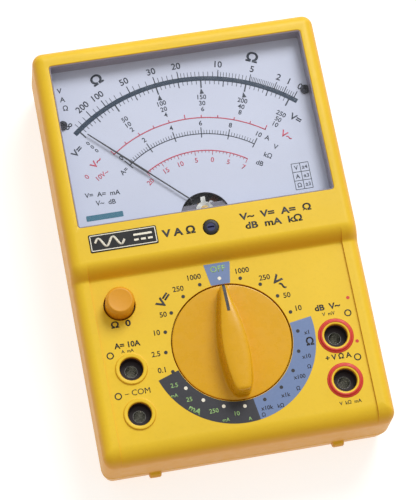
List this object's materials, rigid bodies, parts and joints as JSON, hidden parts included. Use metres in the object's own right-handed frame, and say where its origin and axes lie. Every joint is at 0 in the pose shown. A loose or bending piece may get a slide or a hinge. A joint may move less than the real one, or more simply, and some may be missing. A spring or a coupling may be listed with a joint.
{
  "type": "analog multimeter",
  "caption": "Hand-held moving-coil multimeter: shallow two-part case with a raised meter head, a round range selector and shrouded test jacks.",
  "frame": {"origin": "middle of the footprint, on the flat back of the rear cover", "axes": "+X to the right across the case, +Y from the jacks towards the meter window, +Z out of the face"},
  "size_m": [0.1, 0.1492, 0.0374],
  "materials": {
    "case_plastic": "fine moulded satin",
    "knob_plastic": "satin",
    "clear_window": "clear polished",
    "badge_black": "glossy print",
    "black_plastic": "moulded",
    "dial_face": "pale satin paint with printed scales",
    "steel": "zinc plated",
    "soft_iron": "turned, lightly oiled",
    "magnet": "ground",
    "cast_alloy": "die cast",
    "brass": "turned",
    "copper_wire": "enamelled winding",
    "bronze": "drawn strip",
    "nickel": "nickel plated",
    "pointer_paint": "matt black",
    "board_laminate": "solder mask",
    "resistor_body": "lacquered",
    "capacitor_film": "dipped",
    "trimmer_blue": "moulded",
    "pot_can": "pressed can",
    "fuse_glass": "clear tube with metal caps",
    "cell_sleeve": "printed sleeve"
  },
  "bodies": {
    "case": {"front_case": "case_plastic", "rear_cover": "case_plastic", "case_screws": "steel", "meter_window": "clear_window", "name_badge": "badge_black", "meter_base": "black_plastic", "base_screws": "steel", "dial_plate": "dial_face", "dial_screws": "steel", "movement_frame": "black_plastic", "frame_screws": "steel", "yoke_ring": "soft_iron", "core_magnet": "magnet", "core_spacers": "cast_alloy", "upper_bridge": "brass", "bridge_screws": "steel", "upper_jewel": "brass", "lower_jewel": "brass", "circuit_board": "board_laminate", "board_screws": "steel", "resistors": "resistor_body", "capacitors": "capacitor_film", "trimmers": "trimmer_blue", "ohm_zero_pot": "pot_can", "jack_10a": "nickel", "jack_common": "nickel", "jack_output": "nickel", "jack_volt_ohm": "nickel", "fuse": "fuse_glass", "fuse_clips": "brass", "battery_tray": "black_plastic", "tray_screws": "steel", "batteries": "cell_sleeve", "battery_contacts": "nickel", "battery_springs": "steel"},
    "selector": {"range_knob": "knob_plastic", "selector_rotor": "black_plastic", "wiper_contacts": "brass", "detent_balls": "steel", "detent_springs": "steel", "selector_washer": "steel", "selector_screw": "steel"},
    "ohm_control": {"ohm_zero_knob": "knob_plastic", "ohm_zero_shaft": "nickel"},
    "coil": {"moving_coil": "copper_wire", "coil_pivots": "steel", "pointer": "pointer_paint", "balance_weights": "steel", "upper_hairspring": "bronze", "lower_hairspring": "bronze"},
    "lever": {"zero_lever": "nickel"},
    "adjuster": {"zero_adjuster": "black_plastic"}
  },
  "joints": [
    {"name": "selector_turn", "type": "hinge", "parent": "case", "child": "selector", "pos_m": [0, -0.0376, 0.0295], "axis": [0, 0, 1], "continuous": true},
    {"name": "ohm_zero_turn", "type": "hinge", "parent": "case", "child": "ohm_control", "pos_m": [-0.0352, -0.0186, 0.0295], "axis": [0, 0, 1], "range_deg": [-135, 135]},
    {"name": "pointer_sweep", "type": "hinge", "parent": "case", "child": "coil", "pos_m": [0, 0.0109, 0.025], "axis": [0, 0, -1], "range_deg": [0, 93], "stiffness_Nm_per_rad": 0.00002},
    {"name": "zero_screw_turn", "type": "hinge", "parent": "case", "child": "adjuster", "pos_m": [0, 0.0023, 0.034], "axis": [0, 0, 1], "range_deg": [-60, 60]},
    {"name": "zero_lever_turn", "type": "hinge", "parent": "case", "child": "lever", "pos_m": [0, 0.0109, 0.0275], "axis": [0, 0, 1], "range_deg": [-5.6, 5.6]}
  ],
  "couplings": [
    {"joint": "zero_lever_turn", "follows": "zero_screw_turn", "ratio": 0.0907}
  ]
}
